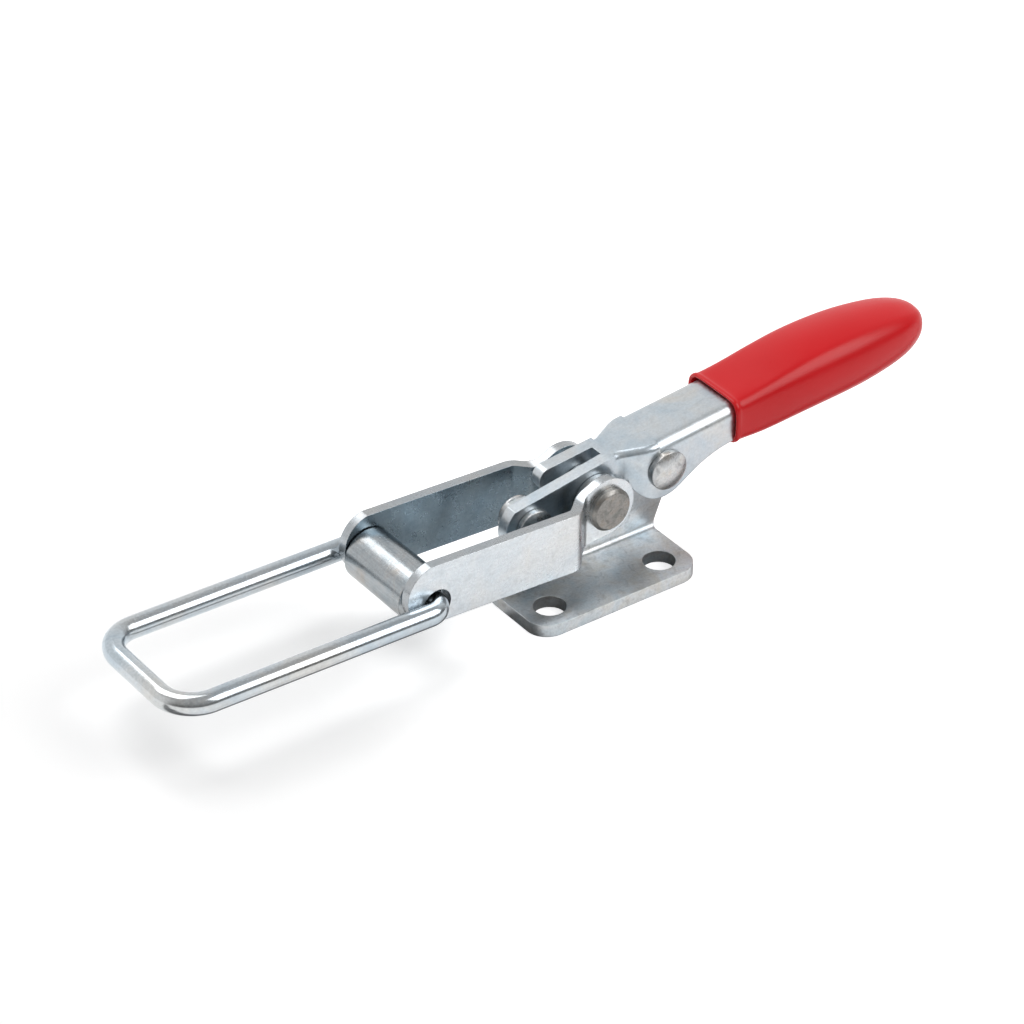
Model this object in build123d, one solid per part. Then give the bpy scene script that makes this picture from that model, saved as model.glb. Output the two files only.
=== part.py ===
# Over-centre toggle latch: an L-shaped base, a pinched U-section lever with a red sleeve,
# a pair of joggled draw links and a wire loop that is hooked over a catch.
# Millimetres.  X runs from the loop (-) to the grip (+), Z is up from the mounting face,
# and the origin is midway between the two mounting holes on the underside of the flange.
# "Left" is the -Y side, the side of the flange, as seen from the grip.
import os
from math import asin, atan2, cos, pi, radians, sin, tan

from build123d import *

# ---------------------------------------------------------------- driving dimensions
# base bracket
base_sheet = 2.8            # thickness of the folded sheet
hole_dia = 7.0              # mounting holes
hole_spacing = 28.0         # centre to centre along X
flange_front = 20.7         # origin to the front edge
flange_rear = 20.6          # origin to the rear edge
flange_side = 6.4           # hole row to the outer long edge
web_offset = 12.5           # hole row to the middle of the upright web
base_bend = 1.5             # inner bend radius
flange_corner = 5.0         # rounded corners of the flange
ear_radius = 4.3            # web round the main pivot
ear_front = 4.3             # main pivot to the web's upright front edge
toe_height = 5.0            # web height at the front of the flange
toe_radius = 2.0            # upper front corner of the toe
ear_throat = 3.0            # fillet between the toe and the ear
horn_top_length = 8.0       # flat seat under the stop rivet
horn_lean = 3.6             # how far the web leans back behind the flange
horn_knee = 12.0            # height at which the lean ends
horn_radius = 2.5           # rounded rear corners of the horn
horn_nose_radius = 1.5      # front corner of the seat
horn_draft = 1.0            # front edge of the horn, seat to dip
spacer_clearance = 0.6      # web cut back round the link spacer

# pivots, measured in X and Z from the origin
main_pivot = (-12.5, 17.2)  # lever on the base
link_pivot = (3.4, 18.1)    # links on the lever
stop_rivet = (19.3, 20.9)   # closes the lever on the horn
hook_pivot = (-41.7, 14.6)  # wire loop in the links

# lever
lever_sheet = 2.8           # thickness of the folded sheet
web_play = 0.1              # lever wall to web, each side
rear_half_width = 7.3       # outside half width under the grip
pinch_front = 9.4           # X where the pinched nose starts to widen
pinch_rear = 15.6           # X where the full width is reached
fold_radius = 3.0           # outer fold radius of the wide part
nose_fold_radius = 1.6      # outer fold radius of the pinched part
fold_start = 8.6            # X where the nose's fold runs out to a sheared edge
fold_change = 17.8          # X where the two fold radii meet
top_front = (6.8, 26.2)     # front edge of the top plate
lever_pitch = 5.9           # degrees, top plate rising to the rear
arm_fall = 9.5              # degrees, top edge of the left arm falling to the front
arm_end_radius = 6.6        # rounded end of the left arm
link_seat_radius = 6.0      # lower edge of the walls round the link pivot
stop_lobe_radius = 7.7      # lobe of the walls round the stop rivet
stop_lobe_shift = (-0.6, 0.8)  # its centre from the rivet
lobe_slope = 32.0           # degrees, lower edge behind the lobe
beam_depth = 8.3            # height of the lever's section under the grip
lever_end = 68.0            # X of the steel's rear end inside the sleeve
right_front = -6.5          # X of the right wall's rounded front corner
right_nose_radius = 2.6
ramp_bend = 4.0             # inner bend radius of the pinch
knee_radius = 25.0          # lower edge, from the lobe into the long beam
throat_radius = 2.5         # lower edge, between link pin and stop rivet

# draw links
link_sheet = 2.2
link_strip_face = 12.4      # middle plane to the outer face of the strip
link_lobe_face = 8.7        # middle plane to the outer face of the lobe
link_depth = 13.8           # height of the strip
link_fall = 2.6             # degrees, strip falling to the rear
link_rise = 2.4             # strip's centre line above the hook pivot
link_lobe_radius = 6.7
link_end_radius = 7.1       # rounded front end
link_joggle_rear = -2.3     # X where the lobe's flat starts
link_joggle_run = 4.0       # length of the ramp along X
link_bend = 1.6             # inner bend radius of the joggle
link_hole_dia = 6.6         # hole for the wire's hook
link_foot_slope = 5.8       # degrees, lower edge rising from the joggle to the lobe
link_neck = -3.8            # X where the top edge starts to rise to the lobe
link_neck_radius = 3.0
link_crown_angle = 120.0    # degrees from +X, where that rise meets the lobe
link_heel_radius = 1.8      # lower rear corner of the strip

# wire loop
wire_dia = 4.7
wire_side_gap = 0.15        # wire to the link's outer face
loop_length = 62.1          # hook pivot to the centre of the front bar
loop_pitch = 1.2            # degrees, loop rising to the front
loop_corner = 7.4           # centre-line radius of the front corners
hook_corner = 3.6           # centre-line radius of the hooks
hook_depth = 6.0            # length of each hook inside the roller
wire_end_chamfer = 0.5

# roller between the links
roller_dia = 11.7
roller_play = 1.8           # bore over the wire, each side: it hangs loose
roller_rest = 0.15          # gap where it leans on the wire
roller_lean = 160.0         # degrees from +X, the way it has slipped on the wire
roller_rim_depth = 0.6      # broad chamfer at each end, across the radius
roller_rim_length = 1.2     # and along the roller
roller_end_gap = 0.3        # link to roller, each side

# pins
pin_play = 0.05             # running clearance on radius
main_pin_dia = 5.2
link_pin_dia = 6.4
stop_pin_dia = 7.0
head_height = 2.4           # domed heads
head_rim = 1.3              # straight part of a domed head
link_head_height = 1.8      # flat heads of the link pin
link_head_rim = 1.1
link_head_chamfer = 0.7
main_head_dia = 8.4
link_head_dia = 9.6
main_tail_height = 1.4      # peened right end of the main rivet
main_tail_rim = 0.5
stop_head_dia = 8.8
stop_tail_dia = 8.0         # peened right end of the stop rivet
stop_tail_height = 0.9
stop_tail_rim = 0.3
spacer_dia = 10.2           # spacer between the walls on the link pin
side_gap = 0.08             # spacers and washers beside sheet
pin_washer_dia = 11.6
stop_gap = 0.03             # stop rivet above the horn

# grip sleeve
grip_front = 36.9           # X of the mouth
grip_tip = 92.2             # X of the rounded end
lip_length = 1.3            # bead round the mouth
lip_height = 0.3
lip_corner = 3.2            # corners of the bead's outline
lip_chamfer = 0.25
mouth_half_width = 8.5      # outside of the sleeve behind the bead
mouth_half_height = 5.25
mouth_centre = 25.15        # height
grip_rings = [              # behind the mouth: X, half width, half height, height of the centre
    (44.0, 8.6, 6.0, 25.2),
    (53.0, 9.3, 7.0, 26.5),
    (63.0, 9.8, 7.7, 27.5),
    (73.0, 9.5, 7.6, 27.9),
    (82.0, 8.1, 6.6, 28.0),
    (88.5, 5.6, 4.7, 28.3),
    (91.3, 2.8, 2.4, 28.5)]
grip_squareness = [5.0, 3.2, 2.7, 2.5, 2.4, 2.3, 2.2, 2.0]  # of the mouth and of each ring
grip_tip_height = 28.6
mouth_gap = 0.5             # flared mouth, sleeve to steel
mouth_depth = 1.6

# ---------------------------------------------------------------- derived places
mid_y = web_offset
beyond = lever_end - hook_pivot[0]  # longer than any piece that is cut or crossed with it
wall_in = base_sheet / 2 + web_play
nose_half_width = wall_in + lever_sheet
roller_half = link_strip_face - link_sheet - roller_end_gap


def away_from(point, angle, distance):
    """Point at a distance from another, at an angle in degrees from +X."""
    return (point[0] + distance * cos(radians(angle)), point[1] + distance * sin(radians(angle)))


def line_height(point, slope, x):
    """Height at x of a line through a point with a slope in degrees."""
    return point[1] + (x - point[0]) * tan(radians(slope))


def side_plate(face, y_from, y_to):
    """Side view face (x, z) made solid between two distances from the middle plane."""
    plane = Plane(origin=(0, mid_y + y_to, 0), x_dir=(1, 0, 0), z_dir=(0, -1, 0))
    return extrude(plane * face, y_to - y_from)


def disc(centre, radius):
    return Pos(*centre) * Circle(radius)


def hull(*discs):
    edges = [edge for one in discs for edge in one.edges()]
    return make_hull(edges)


def outline(*points):
    return make_face(Polyline(*points, close=True))


def nearest(shape, x, y):
    """The vertex of a flat outline that is nearest to a place."""
    return min(shape.vertices(), key=lambda v: (v.X - x) ** 2 + (v.Y - y) ** 2)


def across(centre, dia, length, y_from):
    """Round bar across the latch, from a distance off the middle plane."""
    return side_plate(disc(centre, dia / 2), y_from, y_from + length)


# ---------------------------------------------------------------- base bracket
def base_bracket():
    web_near = mid_y - base_sheet / 2
    web_far = mid_y + base_sheet / 2
    tall = stop_rivet[1]

    # the folded section, flange and web, with concentric bend radii
    section = outline((-flange_side, 0), (web_far, 0), (web_far, tall), (web_near, tall),
                      (web_near, base_sheet), (-flange_side, base_sheet))
    section = fillet(nearest(section, web_near, base_sheet), base_bend)
    section = fillet(nearest(section, web_far, 0), base_bend + base_sheet)
    folded = extrude(Plane.YZ * section, beyond, both=True)

    # seen from above: rounded flange, and the web's own strip
    flange_length = flange_front + flange_rear
    flange_x = (flange_rear - flange_front) / 2
    bend_line = web_near - base_bend
    flange = outline((-flange_front, -flange_side), (flange_rear, -flange_side),
                     (flange_rear, web_far), (-flange_front, web_far))
    flange = fillet([nearest(flange, -flange_front, -flange_side),
                     nearest(flange, flange_rear, -flange_side)], flange_corner)
    web_strip = Pos(flange_x, (bend_line + web_far) / 2) * Rectangle(3 * flange_length, web_far - bend_line)
    plan = flange + web_strip

    # seen from the side: ear, dip under the link spacer, horn leaning back
    horn_top = stop_rivet[1] - stop_pin_dia / 2 - stop_gap
    ear_x = main_pivot[0] - ear_front
    dip = main_pivot[1] - ear_radius
    horn_front = stop_rivet[0] - horn_top_length / 2
    horn_rear = stop_rivet[0] + horn_top_length / 2
    upright = outline((-flange_front, 0), (flange_rear, 0), (flange_rear, base_sheet),
                      (flange_rear + horn_lean, horn_knee), (horn_rear, horn_top),
                      (horn_front, horn_top), (horn_front - horn_draft, dip), (main_pivot[0], dip),
                      (ear_x, dip), (ear_x, 2 * toe_height), (-flange_front, toe_height))
    upright = fillet([nearest(upright, flange_rear + horn_lean, horn_knee),
                      nearest(upright, horn_rear, horn_top)], horn_radius)
    upright = fillet(nearest(upright, horn_front, horn_top), horn_nose_radius)
    upright = fillet(nearest(upright, -flange_front, toe_height), toe_radius)
    upright = fillet(nearest(upright, ear_x, 2 * toe_height), ear_throat)
    ear = hull(disc(main_pivot, ear_radius), disc((main_pivot[0], dip), ear_radius))
    clearance = disc(link_pivot, spacer_dia / 2 + spacer_clearance)
    upright = upright + ear - clearance - disc(main_pivot, main_pin_dia / 2)

    bracket = folded & extrude(plan, tall) & side_plate(upright, -mid_y - flange_side, base_sheet)
    for side in (-1, 1):
        bracket -= Pos(side * hole_spacing / 2, 0, 0) * Cylinder(hole_dia / 2, 4 * base_sheet)
    return bracket


# ---------------------------------------------------------------- lever
def lever_plan(inset):
    """Plan of the pinched lever, its faces set in by a distance."""
    ramp = atan2(rear_half_width - nose_half_width, pinch_rear - pinch_front)
    shift = inset * tan(ramp / 2)
    front_x = main_pivot[0] - 2 * arm_end_radius
    rear_x = lever_end + 2 * inset
    half = [(front_x, nose_half_width - inset), (pinch_front + shift, nose_half_width - inset),
            (pinch_rear + shift, rear_half_width - inset), (rear_x, rear_half_width - inset)]
    mirrored = [(x, -y) for x, y in reversed(half)]
    plan = outline(*half, *mirrored)
    for x, bend in ((half[1][0], ramp_bend + inset), (half[2][0], ramp_bend + lever_sheet - inset)):
        width = nose_half_width if x == half[1][0] else rear_half_width
        corners = [nearest(plan, x, side * (width - inset)) for side in (-1, 1)]
        plan = fillet(corners, bend)
    return Pos(0, mid_y) * plan


def top_line(x):
    return line_height(top_front, lever_pitch, x)


def wall_outline(left):
    """Side view of one wall of the lever."""
    slope_in = radians(lobe_slope)
    lobe = (stop_rivet[0] + stop_lobe_shift[0], stop_rivet[1] + stop_lobe_shift[1])
    lobe_foot = away_from(lobe, lobe_slope - 90, stop_lobe_radius)
    beam_low = (lever_end, top_line(lever_end) - beam_depth)
    rise = tan(slope_in) - tan(radians(lever_pitch))
    knee_x = (line_height(beam_low, lever_pitch, 0) - line_height(lobe_foot, lobe_slope, 0)) / rise
    knee = (knee_x, line_height(beam_low, lever_pitch, knee_x))
    rear = [(lever_end, top_line(lever_end)), beam_low, knee, lobe_foot, lobe, link_pivot]
    lower = disc(link_pivot, link_seat_radius)

    if left:
        nose_top = line_height(top_front, arm_fall, main_pivot[0])
        wall = outline(main_pivot, (main_pivot[0], nose_top), top_front, *rear)
        wall += hull(disc(main_pivot, arm_end_radius), lower)
    else:
        nose_x = right_front + right_nose_radius
        nose = (nose_x, top_line(nose_x) - right_nose_radius / cos(radians(lever_pitch)))
        wall = outline(nose, (nose_x, top_line(nose_x)), top_front, *rear)
        wall += hull(disc(nose, right_nose_radius), lower)
    wall += disc(lobe, stop_lobe_radius)
    wall = fillet(nearest(wall, *knee), knee_radius)
    throat = ((link_pivot[0] + lobe[0]) / 2, link_pivot[1] - link_seat_radius)
    wall = fillet(nearest(wall, *throat), throat_radius)

    # everything above the top plate and above the sheared top edges goes
    front_x = main_pivot[0] - 2 * arm_end_radius
    fall = arm_fall if left else lever_pitch
    above = outline((front_x, line_height(top_front, fall, front_x)), top_front,
                    (lever_end, top_line(lever_end)), (lever_end, beyond), (front_x, beyond))
    return wall - above


def fold(block, radius):
    """Round the two upper long edges of a block of the lever."""
    def on_top(edge):
        middle = edge @ 0.5
        return abs(middle.Z - top_line(middle.X)) < 0.05
    long_edges = [edge for edge in block.edges()
                  if on_top(edge) and abs((edge @ 0).X - (edge @ 1).X) > 0.2
                  and abs((edge @ 0.5).Y - mid_y) > wall_in]
    return fillet(long_edges, radius)


def lever_envelope():
    """Outside of the lever as a solid bar: plan and top, with the folded corners."""
    front_x = main_pivot[0] - 2 * arm_end_radius
    top = outline((front_x, 0), (front_x, line_height(top_front, lever_pitch, front_x)),
                  (lever_end, top_line(lever_end)), (lever_end, 0))
    bar = extrude(lever_plan(0), beyond) & side_plate(top, -beyond, beyond)

    def slab(x_from, x_to):
        return Pos((x_from + x_to) / 2, mid_y, beyond / 2) * Box(x_to - x_from, beyond, beyond)

    rear = fold(bar & slab(fold_change, lever_end), fold_radius)
    nose = fold(bar & slab(fold_start, fold_change), nose_fold_radius)
    front = bar & slab(front_x, fold_start)
    return front, nose, rear


def handle_lever():
    front, nose, rear = lever_envelope()
    front_x = main_pivot[0] - 2 * arm_end_radius

    # the channel inside the fold
    rear_x = lever_end + 2 * lever_sheet
    drop = lever_sheet / cos(radians(lever_pitch))
    ceiling = outline((front_x, -1), (front_x, top_line(front_x) - drop),
                      (rear_x, top_line(rear_x) - drop), (rear_x, -1))
    channel = extrude(Pos(0, 0, -1) * lever_plan(lever_sheet), beyond) & side_plate(ceiling, -beyond, beyond)
    gap = Pos((front_x + top_front[0]) / 2, mid_y, beyond / 2) * Box(
        top_front[0] - front_x, 2 * wall_in, 2 * beyond)

    shell = front + nose + rear - channel - gap
    left = shell & side_plate(wall_outline(True), -beyond / 2, 0)
    right = shell & side_plate(wall_outline(False), 0, beyond / 2)
    lever = left + right

    holes = [(link_pivot, link_pin_dia / 2 + pin_play), (stop_rivet, stop_pin_dia / 2),
             (main_pivot, main_pin_dia / 2 + pin_play)]
    for centre, radius in holes:
        lever -= side_plate(disc(centre, radius), -beyond / 2, beyond / 2)
    return lever


# ---------------------------------------------------------------- grip sleeve
def grip_ring(x, half_width, half_height, centre, squareness):
    """Cross-section of the sleeve: a rounded square drawn as a closed spline."""
    count = 16
    points = []
    for step in range(count):
        angle = 2 * pi * step / count
        reach = (abs(cos(angle)) ** squareness + abs(sin(angle)) ** squareness) ** (-1 / squareness)
        points.append((half_width * reach * cos(angle), half_height * reach * sin(angle)))
    plane = Plane(origin=(x, mid_y, centre), x_dir=(0, 1, 0), z_dir=(1, 0, 0))
    steps = [step / count for step in range(count + 1)]
    ring = Edge.make_spline([Vector(*point) for point in points], periodic=True, parameters=steps)
    return plane * make_face(ring)


def grip_sleeve():
    mouth_ring = (grip_front + lip_length / 2, mouth_half_width, mouth_half_height, mouth_centre)
    sections = [grip_ring(*ring, squareness)
                for ring, squareness in zip([mouth_ring] + grip_rings, grip_squareness)]
    body = loft(sections + [Vertex(grip_tip, mid_y, grip_tip_height)])

    # the bead round the mouth
    rim = RectangleRounded(2 * (mouth_half_width + lip_height), 2 * (mouth_half_height + lip_height), lip_corner)
    mouth = Plane(origin=(grip_front, mid_y, mouth_centre), x_dir=(0, 1, 0), z_dir=(1, 0, 0))
    bead = extrude(mouth * rim, lip_length)
    bead = chamfer(bead.faces().filter_by(Axis.X).edges(), lip_chamfer)

    # the pocket fits the steel and flares at the mouth
    front, nose, rear = lever_envelope()
    low = outline((fold_change, 0), (fold_change, top_line(fold_change) - beam_depth),
                  (lever_end, top_line(lever_end) - beam_depth), (lever_end, 0))
    pocket = rear - side_plate(low, -beyond / 2, beyond / 2)
    mouth_x = grip_front + mouth_depth
    across_steel = Plane(origin=(mouth_x, mid_y, top_line(mouth_x) - beam_depth / 2),
                         x_dir=(0, 1, 0), z_dir=(-cos(radians(lever_pitch)), 0, -sin(radians(lever_pitch))))
    flare = Rectangle(2 * (rear_half_width + mouth_gap), beam_depth + 2 * mouth_gap)
    upper = flare.vertices().sort_by(Axis.Y)[:2]
    flare = fillet(upper, fold_radius)
    return body + bead - pocket - extrude(across_steel * flare, 2 * mouth_depth)


# ---------------------------------------------------------------- draw links
def strip_top(x):
    centre = (hook_pivot[0], hook_pivot[1] + link_rise)
    return line_height(centre, -link_fall, x) + link_depth / 2


def link_side():
    """Side view of a draw link, flattened on the middle plane."""
    end_centre = (hook_pivot[0], hook_pivot[1] + link_rise)
    rear_x = link_joggle_rear - link_joggle_run / 2
    front_x = end_centre[0] - 2 * link_end_radius
    strip = outline((rear_x, strip_top(rear_x) - link_depth), (rear_x, strip_top(rear_x)),
                    (front_x, strip_top(front_x)), (front_x, strip_top(front_x) - link_depth))
    behind = Pos(end_centre[0] + beyond / 2, end_centre[1]) * Rectangle(beyond, beyond)
    strip = strip & (disc(end_centre, link_end_radius) + behind)
    strip = fillet(nearest(strip, rear_x, strip_top(rear_x) - link_depth), link_heel_radius)

    # the lobe, tangent below, with a short rise from the strip above
    ramp_front = link_joggle_rear - link_joggle_run
    foot = away_from(link_pivot, link_foot_slope - 90, link_lobe_radius)
    crown = away_from(link_pivot, link_crown_angle, link_lobe_radius)
    neck = (link_neck, strip_top(link_neck))
    lobe = outline(link_pivot, foot, (ramp_front, line_height(foot, link_foot_slope, ramp_front)),
                   (ramp_front, strip_top(ramp_front)), neck, crown)
    side = strip + lobe + disc(link_pivot, link_lobe_radius)
    side = fillet(nearest(side, *neck), link_neck_radius)
    side -= disc(hook_pivot, link_hole_dia / 2)
    side -= disc(link_pivot, link_pin_dia / 2)
    return side


def link_plan():
    """Plan of the joggled sheet on the +Y side of the middle plane."""
    ramp = atan2(link_strip_face - link_lobe_face, link_joggle_run)
    shift = link_sheet * tan(ramp / 2)
    ramp_front = link_joggle_rear - link_joggle_run
    front_x = hook_pivot[0] - 2 * link_end_radius
    rear_x = link_pivot[0] + 2 * link_lobe_radius
    plan = outline((front_x, link_strip_face), (ramp_front, link_strip_face),
                   (link_joggle_rear, link_lobe_face), (rear_x, link_lobe_face),
                   (rear_x, link_lobe_face - link_sheet), (link_joggle_rear - shift, link_lobe_face - link_sheet),
                   (ramp_front - shift, link_strip_face - link_sheet), (front_x, link_strip_face - link_sheet))
    outer = link_bend + link_sheet
    plan = fillet(nearest(plan, ramp_front, link_strip_face), outer)
    plan = fillet(nearest(plan, link_joggle_rear, link_lobe_face), link_bend)
    plan = fillet(nearest(plan, link_joggle_rear - shift, link_lobe_face - link_sheet), outer)
    plan = fillet(nearest(plan, ramp_front - shift, link_strip_face - link_sheet), link_bend)
    return plan


def draw_link(side):
    plan = link_plan()
    if side < 0:
        plan = mirror(plan, Plane.XZ)
    return extrude(Pos(0, mid_y) * plan, beyond) & side_plate(link_side(), -beyond / 2, beyond / 2)


# ---------------------------------------------------------------- wire loop and roller
def wire_bail():
    arm = link_strip_face + wire_side_gap + wire_dia / 2
    start = roller_half - hook_depth
    pitch = radians(loop_pitch)
    lay = Plane(origin=(hook_pivot[0], mid_y, hook_pivot[1]), x_dir=(-cos(pitch), 0, sin(pitch)),
                z_dir=(sin(pitch), 0, cos(pitch)))
    route = [(0, -start), (0, -arm), (loop_length, -arm), (loop_length, arm), (0, arm), (0, start)]
    radii = [hook_corner, loop_corner, loop_corner, hook_corner]
    path = lay * FilletPolyline(*route, radius=radii)
    section = Plane(origin=path @ 0, z_dir=path % 0) * Circle(wire_dia / 2)
    wire = sweep(section, path)
    ends = wire.faces().filter_by(GeomType.PLANE)
    return chamfer(ends.edges(), wire_end_chamfer)


def roller_tube():
    centre = away_from(hook_pivot, roller_lean, roller_play - roller_rest)
    tube = across(centre, roller_dia, 2 * roller_half, -roller_half)
    for end in tube.faces().filter_by(GeomType.PLANE):
        tube = chamfer(end.edges(), roller_rim_length, roller_rim_depth, reference=end)
    return tube - across(centre, wire_dia + 2 * roller_play, 2 * roller_half, -roller_half)


def ring(centre, outer, inner, y_from, y_to):
    return side_plate(disc(centre, outer / 2) - disc(centre, inner / 2), y_from, y_to)


# ---------------------------------------------------------------- pins
def rivet(centre, dia, y_from, y_to, left_head, right_head, chamfered=0.0):
    """Rivet across the latch; a head is its diameter, its height and its straight rim."""
    edges = []
    for face, way, (head_dia, height, rim_height) in ((y_from, -1, left_head), (y_to, 1, right_head)):
        head = head_dia / 2
        rim = face + way * rim_height
        top = face + way * height
        rise = height - rim_height
        if chamfered:
            crown = Polyline((head, rim), (head - chamfered, top), (0, top))
        else:
            dome = (head ** 2 + rise ** 2) / (2 * rise)
            half_angle = asin(head / dome) / 2
            shoulder = (dome * sin(half_angle), top - way * dome * (1 - cos(half_angle)))
            crown = ThreePointArc((head, rim), shoulder, (0, top))
        edges += [crown, Line((head, face), (head, rim)), Line((dia / 2, face), (head, face))]
    edges.append(Line((dia / 2, y_from), (dia / 2, y_to)))
    edges.append(Line((0, y_from - left_head[1]), (0, y_to + right_head[1])))
    half = Plane(origin=(centre[0], mid_y, centre[1])) * make_face(edges)
    return revolve(half, Axis((centre[0], 0, centre[1]), (0, 1, 0)))


# ---------------------------------------------------------------- all the pieces
link_in = link_lobe_face - link_sheet
main_head = (main_head_dia, head_height, head_rim)
main_tail = (main_head_dia, main_tail_height, main_tail_rim)
link_head = (link_head_dia, link_head_height, link_head_rim)
stop_head = (stop_head_dia, head_height, head_rim)
stop_tail = (stop_tail_dia, stop_tail_height, stop_tail_rim)
pin_bore = link_pin_dia + 2 * pin_play

parts = {
    "base_bracket": base_bracket(),
    "handle_lever": handle_lever(),
    "grip_sleeve": grip_sleeve(),
    "wire_bail": wire_bail(),
    "roller_tube": roller_tube(),
    "main_pivot_rivet": rivet(main_pivot, main_pin_dia, -nose_half_width - side_gap, base_sheet / 2,
                              main_head, main_tail),
    "link_pin": rivet(link_pivot, link_pin_dia, -link_lobe_face, link_lobe_face, link_head, link_head,
                      chamfered=link_head_chamfer),
    "stop_rivet": rivet(stop_rivet, stop_pin_dia, -rear_half_width, rear_half_width, stop_head, stop_tail),
    "link_spacer": ring(link_pivot, spacer_dia, pin_bore, side_gap - wall_in, wall_in - side_gap),
}
for name, side in (("left", -1), ("right", 1)):
    parts["draw_link_" + name] = draw_link(side)
    faces = sorted((side * (nose_half_width + side_gap), side * (link_in - side_gap)))
    parts["pin_washer_" + name] = ring(link_pivot, pin_washer_dia, pin_bore, *faces)

os.makedirs("parts", exist_ok=True)
for name, solid in parts.items():
    export_step(solid, "parts/" + name + ".step")
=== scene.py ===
import math

import bpy
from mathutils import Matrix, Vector


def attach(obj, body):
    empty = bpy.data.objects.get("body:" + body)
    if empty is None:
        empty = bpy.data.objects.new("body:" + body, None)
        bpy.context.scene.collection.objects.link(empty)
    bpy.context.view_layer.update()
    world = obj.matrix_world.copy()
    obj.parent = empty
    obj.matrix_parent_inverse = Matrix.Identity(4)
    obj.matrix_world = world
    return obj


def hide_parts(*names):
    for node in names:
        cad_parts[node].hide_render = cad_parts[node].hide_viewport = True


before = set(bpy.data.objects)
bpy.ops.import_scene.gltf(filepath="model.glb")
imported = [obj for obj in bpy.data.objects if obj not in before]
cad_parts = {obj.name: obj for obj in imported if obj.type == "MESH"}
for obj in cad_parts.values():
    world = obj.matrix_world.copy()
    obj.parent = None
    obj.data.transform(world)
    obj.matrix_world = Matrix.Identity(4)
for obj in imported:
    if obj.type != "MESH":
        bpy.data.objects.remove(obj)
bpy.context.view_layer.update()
print("stage: frame loaded,", len(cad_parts), "nodes")

mm = 0.001
middleY = 12.5 * mm                                     # the mechanism's middle plane
samePlace = 1e-6                                        # metres, for picking vertices and faces
multiplied = {"data_type": "RGBA", "blend_type": "MULTIPLY"}
softStep = {"interpolation_type": "SMOOTHSTEP"}
white = (1, 1, 1, 1)


def clearSelection():
    if bpy.context.mode != "OBJECT":
        bpy.ops.object.mode_set(mode="OBJECT")
    bpy.ops.object.select_all(action="DESELECT")


def hexToLinear(code):
    channels = [int(code[i:i + 2], 16) / 255 for i in (1, 3, 5)]
    return [c / 12.92 if c <= 0.04045 else ((c + 0.055) / 1.055) ** 2.4 for c in channels] + [1.0]


# one node with its settings, socket values and incoming links; stops are (position, hex colour
# or grey level) pairs for a colour ramp
def addNode(tree, kind, at, sets=None, values=None, links=None, stops=None):
    node = tree.nodes.new(kind)
    node.location = at
    for key, value in (sets or {}).items():
        setattr(node, key, value)
    for key, value in (values or {}).items():
        node.inputs[key].default_value = value
    for key, socket in (links or {}).items():
        tree.links.new(socket, node.inputs[key])
    if stops:
        band = node.color_ramp
        while len(band.elements) < len(stops):
            band.elements.new(0.5)
        for element, (place, shade) in zip(band.elements, stops):
            element.position = place
            isHex = isinstance(shade, str)
            element.color = hexToLinear(shade) if isHex else (shade, shade, shade, 1)
    return node


def newMaterial(name):
    material = bpy.data.materials.new(name)
    material.use_nodes = True
    tree = material.node_tree
    return material, tree, tree.nodes["Principled BSDF"]


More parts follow.
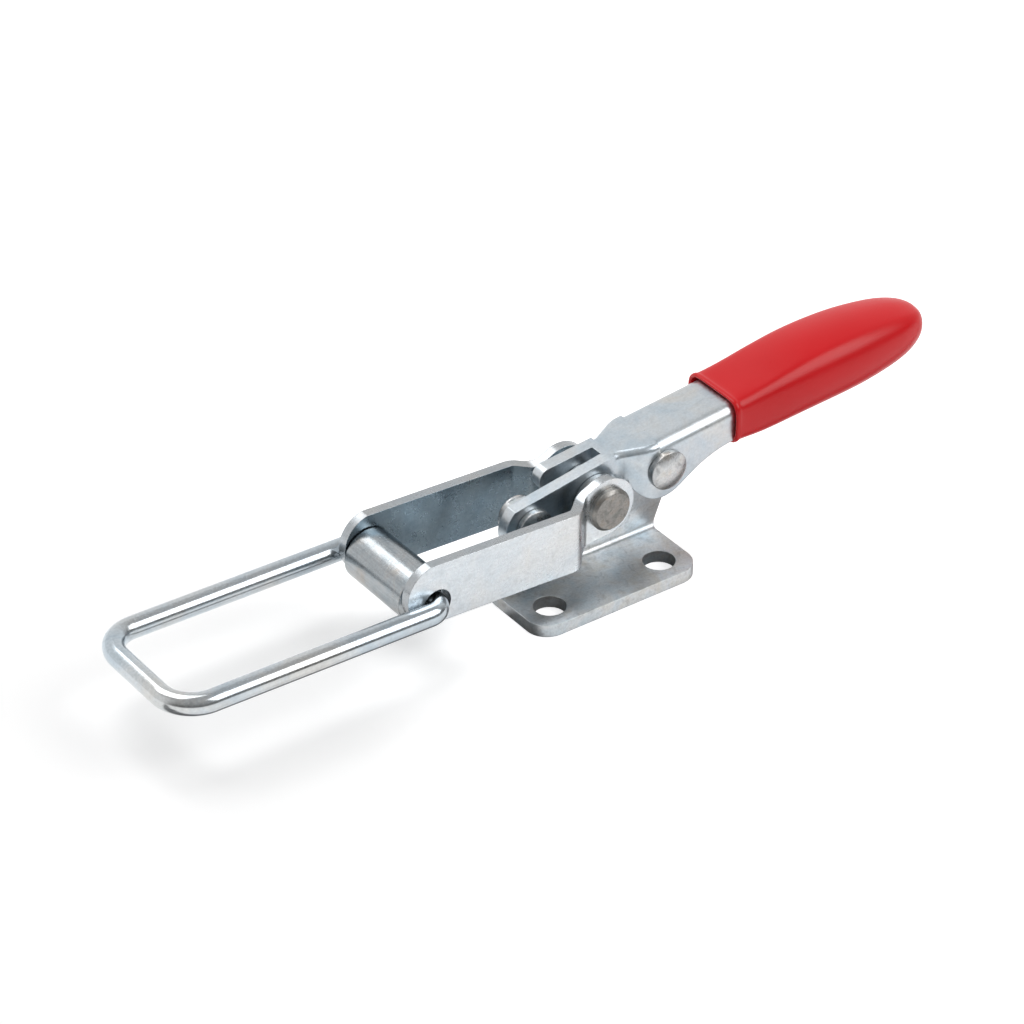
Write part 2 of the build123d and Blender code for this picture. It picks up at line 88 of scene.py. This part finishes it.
# Bright zinc plate on steel: a thin bluish metal skin, half matt. The eye sees cloudy patches where
# the passivation dried, streaks along the rolling or drawing direction, a fine pickled grain and
# edges rounded by the barrel that catch the light. The grain is drawn at about five times its real
# 0.1 mm, so that it shows; the other marks have real sizes.
def zincPlate(name, look):
    material, tree, shader = newMaterial(name)
    coords = addNode(tree, "ShaderNodeTexCoord", (-1700, 0)).outputs["Object"]

    clouds = addNode(tree, "ShaderNodeTexNoise", (-1300, 500),
                     values={"Scale": 1 / (look["cloudMm"] * mm), "Detail": 4.0, "Roughness": 0.6,
                             "Distortion": 0.5},
                     links={"Vector": coords})
    tint = addNode(tree, "ShaderNodeValToRGB", (-1050, 500), links={"Fac": clouds.outputs["Fac"]},
                   stops=[(0.30, look["coolHex"]), (0.52, look["plainHex"]),
                          (0.72, look["warmHex"])])

    along = addNode(tree, "ShaderNodeMapping", (-1500, 200), values={"Scale": look["streakWay"]},
                    links={"Vector": coords})
    streaks = addNode(tree, "ShaderNodeTexNoise", (-1300, 200),
                      values={"Scale": 1 / (look["streakMm"] * mm), "Detail": 3.0},
                      links={"Vector": along.outputs["Vector"]})
    streakShade = addNode(tree, "ShaderNodeMapRange", (-1050, 200),
                          values={"From Min": 0.3, "From Max": 0.7,
                                  "To Min": 1 - look["streakDepth"], "To Max": 1.0},
                          links={"Value": streaks.outputs["Fac"]})
    streaked = addNode(tree, "ShaderNodeMix", (-750, 400),
                       sets=multiplied, values={"Factor": 1.0},
                       links={6: tint.outputs["Color"], 7: streakShade.outputs["Result"]})

    # handling smudges and dried drops
    smears = addNode(tree, "ShaderNodeTexNoise", (-1300, -100),
                     values={"Scale": 1 / (look["smearMm"] * mm), "Detail": 5.0, "Roughness": 0.62,
                             "Distortion": 0.8},
                     links={"Vector": coords})
    smearShade = addNode(tree, "ShaderNodeMapRange", (-1050, -100),
                         values={"From Min": 0.52, "From Max": 0.70, "To Min": 1.0,
                                 "To Max": 1 - look["smearDepth"]},
                         links={"Value": smears.outputs["Fac"]})
    smudged = addNode(tree, "ShaderNodeMix", (-450, 300),
                      sets=multiplied, values={"Factor": 1.0},
                      links={6: streaked.outputs[2], 7: smearShade.outputs["Result"]})
    grain = addNode(tree, "ShaderNodeTexNoise", (-1300, -400),
                    values={"Scale": 1 / (look["grainMm"] * mm), "Detail": 4.0, "Roughness": 0.65},
                    links={"Vector": coords})
    grainShade = addNode(tree, "ShaderNodeMapRange", (-1050, -250),
                         values={"From Min": 0.35, "From Max": 0.65,
                                 "To Min": 1 - look["grainDepth"],
                                 "To Max": 1.0},
                         links={"Value": grain.outputs["Fac"]})
    speckled = addNode(tree, "ShaderNodeMix", (-200, 300),
                       sets=multiplied, values={"Factor": 1.0},
                       links={6: smudged.outputs[2], 7: grainShade.outputs["Result"]})

    # Sheared edges are torn and duller than the rolled faces. Those look along the part's Y, and
    # up as well where there is a flange.
    facing = addNode(tree, "ShaderNodeTexCoord", (-1700, -800)).outputs["Normal"]
    facingAway = addNode(tree, "ShaderNodeSeparateXYZ", (-1500, -800), links={"Vector": facing})
    acrossFace = addNode(tree, "ShaderNodeMath", (-1300, -800), sets={"operation": "ABSOLUTE"},
                         links={0: facingAway.outputs["Y"]})
    flangeFace = addNode(tree, "ShaderNodeMapRange", (-1300, -1000),
                         values={"From Min": 0.9, "From Max": 0.98, "To Min": 0.0,
                                 "To Max": look["flangeShare"]},
                         links={"Value": facingAway.outputs["Z"]})
    rolledFace = addNode(tree, "ShaderNodeMath", (-1100, -900), sets={"operation": "MAXIMUM"},
                         links={0: acrossFace.outputs[0], 1: flangeFace.outputs["Result"]})
    sheared = addNode(tree, "ShaderNodeMapRange", (-900, -800),
                      values={"From Min": 0.3, "From Max": 0.6, "To Min": 1 - look["shearDark"],
                              "To Max": 1.0},
                      links={"Value": rolledFace.outputs[0]})
    plated = addNode(tree, "ShaderNodeMix", (50, 300),
                     sets=multiplied, values={"Factor": 1.0},
                     links={6: speckled.outputs[2], 7: sheared.outputs["Result"]})
    # painted shade: faces that look in at the mechanism, between the parts, are painted darker and
    # bluer
    place = addNode(tree, "ShaderNodeSeparateXYZ", (-1500, -1200), links={"Vector": coords})
    aside = addNode(tree, "ShaderNodeMath", (-1300, -1200), sets={"operation": "SUBTRACT"},
                    values={1: middleY}, links={0: place.outputs["Y"]})
    outward = addNode(tree, "ShaderNodeMath", (-1100, -1200), sets={"operation": "MULTIPLY"},
                      links={0: aside.outputs[0], 1: facingAway.outputs["Y"]})
    inner = addNode(tree, "ShaderNodeMapRange", (-900, -1200),
                    values={"From Min": look["innerShadeFrom"], "From Max": look["innerShadeTo"]},
                    links={"Value": outward.outputs[0]})
    filmed = addNode(tree, "ShaderNodeMix", (250, 300),
                     sets=multiplied,
                     links={0: inner.outputs["Result"], 6: plated.outputs[2]})
    # the colour of the painted shade on the inward faces
    filmed.inputs[7].default_value = hexToLinear(look["innerHex"])
    tree.links.new(filmed.outputs[2], shader.inputs["Base Color"])

    wear = addNode(tree, "ShaderNodeMix", (-1050, -400), sets={"data_type": "FLOAT"},
                   values={"Factor": 0.6},
                   links={2: grain.outputs["Fac"], 3: smears.outputs["Fac"]})
    rough = addNode(tree, "ShaderNodeMapRange", (-750, -200),
                    values={"From Min": 0.3, "From Max": 0.7, "To Min": look["roughLow"],
                            "To Max": look["roughHigh"]},
                    links={"Value": wear.outputs[0]})
    tree.links.new(rough.outputs["Result"], shader.inputs["Roughness"])

    rounded = addNode(tree, "ShaderNodeBevel", (-750, -700), sets={"samples": 6},
                      values={"Radius": look["edgeMm"] * mm})
    bump = addNode(tree, "ShaderNodeBump", (-450, -500),
                   values={"Strength": look["bump"], "Distance": look["bumpMm"] * mm},
                   links={"Height": grain.outputs["Fac"], "Normal": rounded.outputs["Normal"]})
    tree.links.new(bump.outputs["Normal"], shader.inputs["Normal"])
    shader.inputs["Metallic"].default_value = 1.0
    return material


sheetLook = {
    "coolHex": "#C2D0DA", "plainHex": "#D4DBE0", "warmHex": "#DADAD8", "cloudMm": 9.0,
    "streakMm": 0.5, "streakWay": (0.06, 1, 1), "streakDepth": 0.05,
    "smearMm": 3.0, "smearDepth": 0.10, "grainMm": 0.55, "grainDepth": 0.12,
    "roughLow": 0.26, "roughHigh": 0.42, "bump": 0.35, "bumpMm": 0.04, "edgeMm": 0.22,
    "shearDark": 0.0, "flangeShare": 0.0,
    "innerHex": "#FFFFFF", "innerShadeFrom": -0.003, "innerShadeTo": -0.006,
}
bracketLook = dict(sheetLook, coolHex="#D2DDE4", plainHex="#E2E5E7", warmHex="#DBD8D2",
                   cloudMm=6.0, smearMm=2.2, smearDepth=0.22, grainDepth=0.16,
                   roughLow=0.34, roughHigh=0.52, shearDark=0.24, flangeShare=1.0)
# the links' inward faces get a darker, bluer painted shade
linkLook = dict(sheetLook, coolHex="#DAE3EA", plainHex="#E4E8EB", warmHex="#E4E4E2", cloudMm=12.0,
                shearDark=0.34, innerHex="#A9B8C1", bump=0.12, roughLow=0.22, roughHigh=0.36)
wireLook = dict(sheetLook, streakMm=0.6, streakWay=(0.04, 1, 1), streakDepth=0.08, cloudMm=14.0,
                roughLow=0.14, roughHigh=0.24, bump=0.12, edgeMm=0.2)
barLook = dict(sheetLook, coolHex="#A8B2B8", plainHex="#B9BEC1", warmHex="#BDB9B4", cloudMm=5.0,
               streakWay=(1, 0.05, 1), streakDepth=0.18, roughLow=0.18, roughHigh=0.30, bump=0.2,
               edgeMm=0.3)
rivetLook = dict(barLook, coolHex="#C2C6C9", plainHex="#DADBDB", warmHex="#D6D1CA", cloudMm=2.8,
                 smearMm=1.8, smearDepth=0.35, roughLow=0.22, roughHigh=0.38)
pinLook = dict(rivetLook, coolHex="#8A8A87", plainHex="#A29F9B", warmHex="#A59B90", smearMm=1.2,
               roughLow=0.30, roughHigh=0.46)

zincSheet = zincPlate("zincPlatedPressedSheet", sheetLook)
zincBracket = zincPlate("zincPlatedFoldedBracket", bracketLook)
zincLink = zincPlate("zincPlatedJoggledStrip", linkLook)
zincWire = zincPlate("zincPlatedDrawnWire", wireLook)
zincBar = zincPlate("zincPlatedTurnedBar", barLook)
zincRivet = zincPlate("zincPlatedHeadedRivet", rivetLook)
dullPin = zincPlate("dullZincPivotHead", pinLook)


# Dipped vinyl: soft plasticised PVC, even red all through. The eye sees a broad soft shine, a faint
# orange peel where it cured, and slightly duller patches from handling.
def dippedVinyl(name, look):
    material, tree, shader = newMaterial(name)
    coords = addNode(tree, "ShaderNodeTexCoord", (-1500, 0)).outputs["Object"]
    clouds = addNode(tree, "ShaderNodeTexNoise", (-1100, 300),
                     values={"Scale": 1 / (look["cloudMm"] * mm), "Detail": 3.0},
                     links={"Vector": coords})
    tint = addNode(tree, "ShaderNodeValToRGB", (-800, 300), links={"Fac": clouds.outputs["Fac"]},
                   stops=[(0.1, look["deepHex"]), (0.9, look["plainHex"])])
    tree.links.new(tint.outputs["Color"], shader.inputs["Base Color"])

    smudge = addNode(tree, "ShaderNodeTexNoise", (-1100, -300),
                     values={"Scale": 1 / (look["smudgeMm"] * mm), "Detail": 4.0},
                     links={"Vector": coords})
    rough = addNode(tree, "ShaderNodeMapRange", (-700, -200),
                    values={"From Min": 0.1, "From Max": 0.9, "To Min": look["roughLow"],
                            "To Max": look["roughHigh"]},
                    links={"Value": smudge.outputs["Fac"]})
    tree.links.new(rough.outputs["Result"], shader.inputs["Roughness"])

    peel = addNode(tree, "ShaderNodeTexNoise", (-1100, -600),
                   values={"Scale": 1 / (look["peelMm"] * mm), "Detail": 2.0},
                   links={"Vector": coords})
    bump = addNode(tree, "ShaderNodeBump", (-400, -400),
                   values={"Strength": look["bump"], "Distance": look["bumpMm"] * mm},
                   links={"Height": peel.outputs["Fac"]})
    tree.links.new(bump.outputs["Normal"], shader.inputs["Normal"])
    shader.inputs["IOR"].default_value = look["ior"]
    shader.inputs["Specular IOR Level"].default_value = look["specular"]
    return material


vinylLook = {
    "plainHex": "#CE0B15", "deepHex": "#C30710", "cloudMm": 18.0,
    "smudgeMm": 9.0, "roughLow": 0.26, "roughHigh": 0.36, "ior": 1.45, "specular": 0.42,
    "peelMm": 1.6, "bump": 0.12, "bumpMm": 0.05,
}
redVinyl = dippedVinyl("redDippedVinyl", vinylLook)
print("stage: materials made")


nodeFinish = {
    "base_bracket": zincBracket, "handle_lever": zincSheet,
    "draw_link_left": zincLink, "draw_link_right": zincLink,
    "wire_bail": zincWire, "roller_tube": zincBar, "link_spacer": zincBar,
    "pin_washer_left": zincBar, "pin_washer_right": zincBar,
    "main_pivot_rivet": zincRivet, "stop_rivet": zincRivet, "link_pin": dullPin,
    "grip_sleeve": redVinyl,
}
for nodeName, material in nodeFinish.items():
    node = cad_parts[nodeName]
    if not node.material_slots:
        node.data.materials.append(material)
    for finishSlot in node.material_slots:
        finishSlot.material = material
print("stage: nodes finished in zinc and vinyl")


# Stations are x, half width, half height and height of the middle, all in mm, then how far the
# section is rounded there. It goes from boxy at the mouth to oval at the tip.
sleeveSize = {
    "cornerShare": 0.27, "cornerSegments": 3, "smoothing": 2,
    "mouth": (36.95, 8.3, 5.1, 25.12),
    "stations": [
        (37.1, 8.6, 5.4, 25.14, 0), (37.9, 8.65, 5.45, 25.16, 0), (38.2, 8.45, 5.25, 25.18, 0),
        (39.2, 8.4, 5.25, 25.2, 0), (44.0, 8.4, 5.85, 25.35, 0.15), (48.5, 8.55, 6.25, 25.9, 0.2),
        (53.0, 8.65, 6.55, 26.45, 0.25), (58.0, 8.75, 6.85, 27.0, 0.25),
        (63.0, 8.75, 6.95, 27.35, 0.2), (68.0, 8.65, 6.95, 27.55, 0.15),
        (73.0, 8.35, 6.8, 27.75, 0.15), (77.5, 7.85, 6.45, 27.88, 0.15),
        (82.0, 7.2, 5.95, 28.0, 0.2), (85.6, 6.35, 5.3, 28.12, 0.2), (88.5, 5.2, 4.4, 28.25, 0.3),
        (90.3, 4.1, 3.5, 28.38, 0.3), (91.5, 2.6, 2.2, 28.48, 0.3), (91.95, 1.2, 1.0, 28.54, 0),
    ],
    # the flared mouth, then the pocket round the steel, which rises with the lever
    "pocket": [(36.95, 7.85, 4.65, 25.22), (37.9, 7.6, 4.45, 25.3), (39.0, 7.42, 4.28, 25.4),
               (68.4, 7.42, 4.28, 28.43)],
}


# every vertex of the selected face moves to its next station
def nextStation(here, there):
    step = ((there[0] - here[0]) * mm, 0, (there[3] - here[3]) * mm)
    bpy.ops.mesh.extrude_region_move(TRANSFORM_OT_translate={"value": step})
    bpy.ops.transform.resize(value=(1, there[1] / here[1], there[2] / here[2]),
                             center_override=(there[0] * mm, middleY, there[3] * mm))


# the selected ring goes some way towards an oval of its own proportions
def roundRing(station):
    middle = (station[0] * mm, middleY, station[3] * mm)
    bpy.ops.transform.resize(value=(1, 1, station[1] / station[2]), center_override=middle)
    bpy.ops.transform.tosphere(value=station[4])
    bpy.ops.transform.resize(value=(1, 1, station[2] / station[1]), center_override=middle)


def makeSleeve(size):
    clearSelection()
    mouth = size["mouth"]
    bpy.ops.mesh.primitive_plane_add(size=2 * mm, rotation=(0, math.pi / 2, 0),
                                     location=(mouth[0] * mm, middleY, mouth[3] * mm))
    sleeve = bpy.context.object
    sleeve.name = "vinylSleeve"
    bpy.ops.object.transform_apply(location=False, rotation=True, scale=False)
    sleeve.scale = (1, mouth[1], mouth[2])
    bpy.ops.object.transform_apply(location=True, rotation=False, scale=True)
    bpy.ops.object.mode_set(mode="EDIT")
    # one outline with a vertex in the middle of each side, then the four corners rounded
    bpy.ops.mesh.select_all(action="SELECT")
    bpy.ops.mesh.subdivide(number_cuts=1)
    bpy.ops.mesh.select_mode(type="FACE")
    bpy.ops.mesh.dissolve_faces()
    bpy.ops.mesh.select_mode(type="VERT")
    bpy.ops.mesh.select_all(action="DESELECT")
    bpy.ops.object.mode_set(mode="OBJECT")
    for vertex in sleeve.data.vertices:
        acrossSide = abs(abs(vertex.co.y - middleY) - mouth[1] * mm)
        upSide = abs(abs(vertex.co.z - mouth[3] * mm) - mouth[2] * mm)
        vertex.select = acrossSide < samePlace and upSide < samePlace
    bpy.ops.object.mode_set(mode="EDIT")
    bpy.ops.mesh.bevel(offset=size["cornerShare"] * 2 * mouth[2] * mm,
                       segments=size["cornerSegments"], affect="VERTICES")
    bpy.ops.mesh.select_mode(type="FACE")
    bpy.ops.mesh.select_all(action="SELECT")
    here = mouth
    for there in size["stations"]:
        nextStation(here, there)
        if there[4]:
            roundRing(there)
        here = there

    # the face that is left at the mouth goes in to make the pocket
    bpy.ops.mesh.select_all(action="DESELECT")
    bpy.ops.object.mode_set(mode="OBJECT")
    for face in sleeve.data.polygons:
        face.select = abs(face.center.x - mouth[0] * mm) < samePlace
    bpy.ops.object.mode_set(mode="EDIT")
    here = mouth
    for there in size["pocket"]:
        nextStation(here, there)
        here = there
    bpy.ops.mesh.select_all(action="SELECT")
    bpy.ops.mesh.normals_make_consistent(inside=False)
    bpy.ops.object.mode_set(mode="OBJECT")
    bpy.ops.object.modifier_add(type="SUBSURF")
    smoother = sleeve.modifiers[-1]
    smoother.levels = size["smoothing"]
    smoother.render_levels = size["smoothing"]
    bpy.ops.object.modifier_apply(modifier=smoother.name)
    bpy.ops.object.shade_smooth()
    sleeve.data.materials.append(redVinyl)
    return sleeve


sleeve = makeSleeve(sleeveSize)
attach(sleeve, "lever")
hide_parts("grip_sleeve")
print("stage: sleeve made,", len(sleeve.data.polygons), "faces")


# The floor is white paper, lit by the lamps. It also glows white for the camera, a painted light
# that grows towards the grip until the paper clips there, so only the loop keeps a shadow.
# Metal sees a small share of that glow too, and a painted shadow under the latch: a dark strip of
# paper that the camera doesn't see.
floorSize = {
    "side": 6.0, "hex": "#EDEDED", "metalShare": 0.20,
    "loopShare": 0.13, "gripShare": 0.60, "fadeFrom": -0.075, "fadeTo": -0.010,
    "shadeHex": "#303438", "shadeMid": 0.0005, "shadeHalf": 0.0075, "shadeCore": 0.6,
    "shadeDepth": 0.8, "roughness": 0.9,
}
shadeEdge = {"From Min": floorSize["shadeHalf"] * floorSize["shadeCore"],
             "From Max": floorSize["shadeHalf"]}
clearSelection()
bpy.ops.mesh.primitive_plane_add(size=floorSize["side"], location=(0, 0, 0))
floor = bpy.context.object
floor.name = "studioFloor"
floorPaper, floorTree, floorShader = newMaterial("whiteFloorPaper")
floorPath = addNode(floorTree, "ShaderNodeLightPath", (-1100, 300))
floorCoords = addNode(floorTree, "ShaderNodeTexCoord", (-1500, -100)).outputs["Object"]
floorPlace = addNode(floorTree, "ShaderNodeSeparateXYZ", (-1300, -100),
                     links={"Vector": floorCoords})
# painted light: the floor's glow for the camera, from loopShare at the loop to gripShare at the
# grip
floorFade = addNode(floorTree, "ShaderNodeMapRange", (-1100, -100),
                    sets=softStep,
                    values={"From Min": floorSize["fadeFrom"], "From Max": floorSize["fadeTo"],
                            "To Min": floorSize["loopShare"], "To Max": floorSize["gripShare"]},
                    links={"Value": floorPlace.outputs["X"]})
floorSeen = addNode(floorTree, "ShaderNodeMath", (-850, 200), sets={"operation": "MULTIPLY"},
                    links={0: floorPath.outputs["Is Camera Ray"], 1: floorFade.outputs["Result"]})
floorAside = addNode(floorTree, "ShaderNodeMath", (-1300, -400), sets={"operation": "SUBTRACT"},
                     values={1: floorSize["shadeMid"]}, links={0: floorPlace.outputs["Y"]})
floorAway = addNode(floorTree, "ShaderNodeMath", (-1100, -400), sets={"operation": "ABSOLUTE"},
                    links={0: floorAside.outputs[0]})
# metal sees a share of the floor's glow, none of it inside the painted shadow strip
floorOpen = addNode(floorTree, "ShaderNodeMapRange", (-900, -400),
                    sets=softStep,
                    values=dict(shadeEdge, **{"To Min": 0.0, "To Max": floorSize["metalShare"]}),
                    links={"Value": floorAway.outputs[0]})
floorMirrored = addNode(floorTree, "ShaderNodeMath", (-700, 0), sets={"operation": "MULTIPLY"},
                        links={0: floorPath.outputs["Is Glossy Ray"],
                               1: floorOpen.outputs["Result"]})
floorGlow = addNode(floorTree, "ShaderNodeMath", (-600, 100), sets={"operation": "ADD"},
                    links={0: floorSeen.outputs[0], 1: floorMirrored.outputs[0]})
floorTree.links.new(floorGlow.outputs[0], floorShader.inputs["Emission Strength"])
floorShader.inputs["Emission Color"].default_value = white
# painted shadow: a dark strip of paper under the latch, seen only in reflections
floorShade = addNode(floorTree, "ShaderNodeMapRange", (-700, -400),
                     sets=softStep,
                     values=dict(shadeEdge, **{"To Min": floorSize["shadeDepth"], "To Max": 0.0}),
                     links={"Value": floorAway.outputs[0]})
floorDark = addNode(floorTree, "ShaderNodeMath", (-500, -300), sets={"operation": "MULTIPLY"},
                    links={0: floorPath.outputs["Is Glossy Ray"], 1: floorShade.outputs["Result"]})
floorPaint = addNode(floorTree, "ShaderNodeMix", (-300, -200), sets={"data_type": "RGBA"},
                     links={0: floorDark.outputs[0]})
floorPaint.inputs[6].default_value = hexToLinear(floorSize["hex"])
floorPaint.inputs[7].default_value = hexToLinear(floorSize["shadeHex"])
floorTree.links.new(floorPaint.outputs[2], floorShader.inputs["Base Color"])
floorShader.inputs["Roughness"].default_value = floorSize["roughness"]
floorShader.inputs["Specular IOR Level"].default_value = 0.0
floor.data.materials.append(floorPaper)

# The room as metal sees it: a bright backdrop behind, a dimmer ceiling, and a dark room in front
# below the softbox. Levels are by the sine of the height above the horizon. Only the camera sees
# the room white.
roomSize = {
    "behind": [(0.0, 0.95), (0.20, 0.88), (0.62, 0.82), (0.85, 0.50), (1.0, 0.45)],
    "inFront": [(0.0, 0.14), (0.22, 0.18), (0.45, 0.34), (0.80, 0.44), (1.0, 0.45)],
    "turnFrom": -0.35, "turnTo": 0.25,                  # along Y, from the front to behind
}
world = bpy.data.worlds.new("softStudio")
bpy.context.scene.world = world
world.use_nodes = True
skyTree = world.node_tree
background = skyTree.nodes["Background"]
skyPath = addNode(skyTree, "ShaderNodeLightPath", (-900, 600))
direction = addNode(skyTree, "ShaderNodeTexCoord", (-1500, 0)).outputs["Generated"]
parts = addNode(skyTree, "ShaderNodeSeparateXYZ", (-1300, 0), links={"Vector": direction})
behind = addNode(skyTree, "ShaderNodeValToRGB", (-1000, 200), links={"Fac": parts.outputs["Z"]},
                 stops=roomSize["behind"])
inFront = addNode(skyTree, "ShaderNodeValToRGB", (-1000, -100), links={"Fac": parts.outputs["Z"]},
                  stops=roomSize["inFront"])
turn = addNode(skyTree, "ShaderNodeMapRange", (-1000, -400), sets=softStep,
               values={"From Min": roomSize["turnFrom"], "From Max": roomSize["turnTo"]},
               links={"Value": parts.outputs["Y"]})
room = addNode(skyTree, "ShaderNodeMix", (-700, 0), sets={"data_type": "RGBA"},
               links={0: turn.outputs["Result"], 6: inFront.outputs["Color"],
                      7: behind.outputs["Color"]})
skyMix = addNode(skyTree, "ShaderNodeMix", (-400, 200), sets={"data_type": "RGBA"},
                 links={0: skyPath.outputs["Is Camera Ray"], 6: room.outputs[2]})
skyMix.inputs[7].default_value = white
skyTree.links.new(skyMix.outputs[2], background.inputs["Color"])
background.inputs["Strength"].default_value = 1.0

lampSetups = {
    "keySoftbox": {"at": (0.48, -0.56, 0.67), "size": 0.62, "power": 4.0},
    "topSoftbox": {"at": (-0.15, 0.45, 0.95), "size": 0.7, "power": 4.6},
}
lampTarget = Vector((0, 0.012, 0.015))                  # the middle of the latch
for lampName, lampSetup in lampSetups.items():
    clearSelection()
    bpy.ops.object.light_add(type="AREA", location=lampSetup["at"])
    lamp = bpy.context.object
    lamp.name = lampName
    lamp.data.size = lampSetup["size"]
    lamp.data.energy = lampSetup["power"]
    aim = lampTarget - Vector(lampSetup["at"])
    lamp.rotation_euler = aim.to_track_quat("-Z", "Y").to_euler()

cameraSetup = {
    "at": (-0.4486, -0.5936, 0.5236), "looks": (0.482, 0.673, -0.560),
    "lens": 154.98, "sensor": 36.0, "nearest": 0.01,
}
clearSelection()
bpy.ops.object.camera_add(location=cameraSetup["at"])
camera = bpy.context.object
camera.data.lens = cameraSetup["lens"]
camera.data.sensor_width = cameraSetup["sensor"]
camera.data.clip_start = cameraSetup["nearest"]
camera.rotation_euler = Vector(cameraSetup["looks"]).to_track_quat("-Z", "Y").to_euler()
bpy.context.scene.camera = camera
bpy.context.scene.view_settings.view_transform = "Standard"
print("stage: studio set")
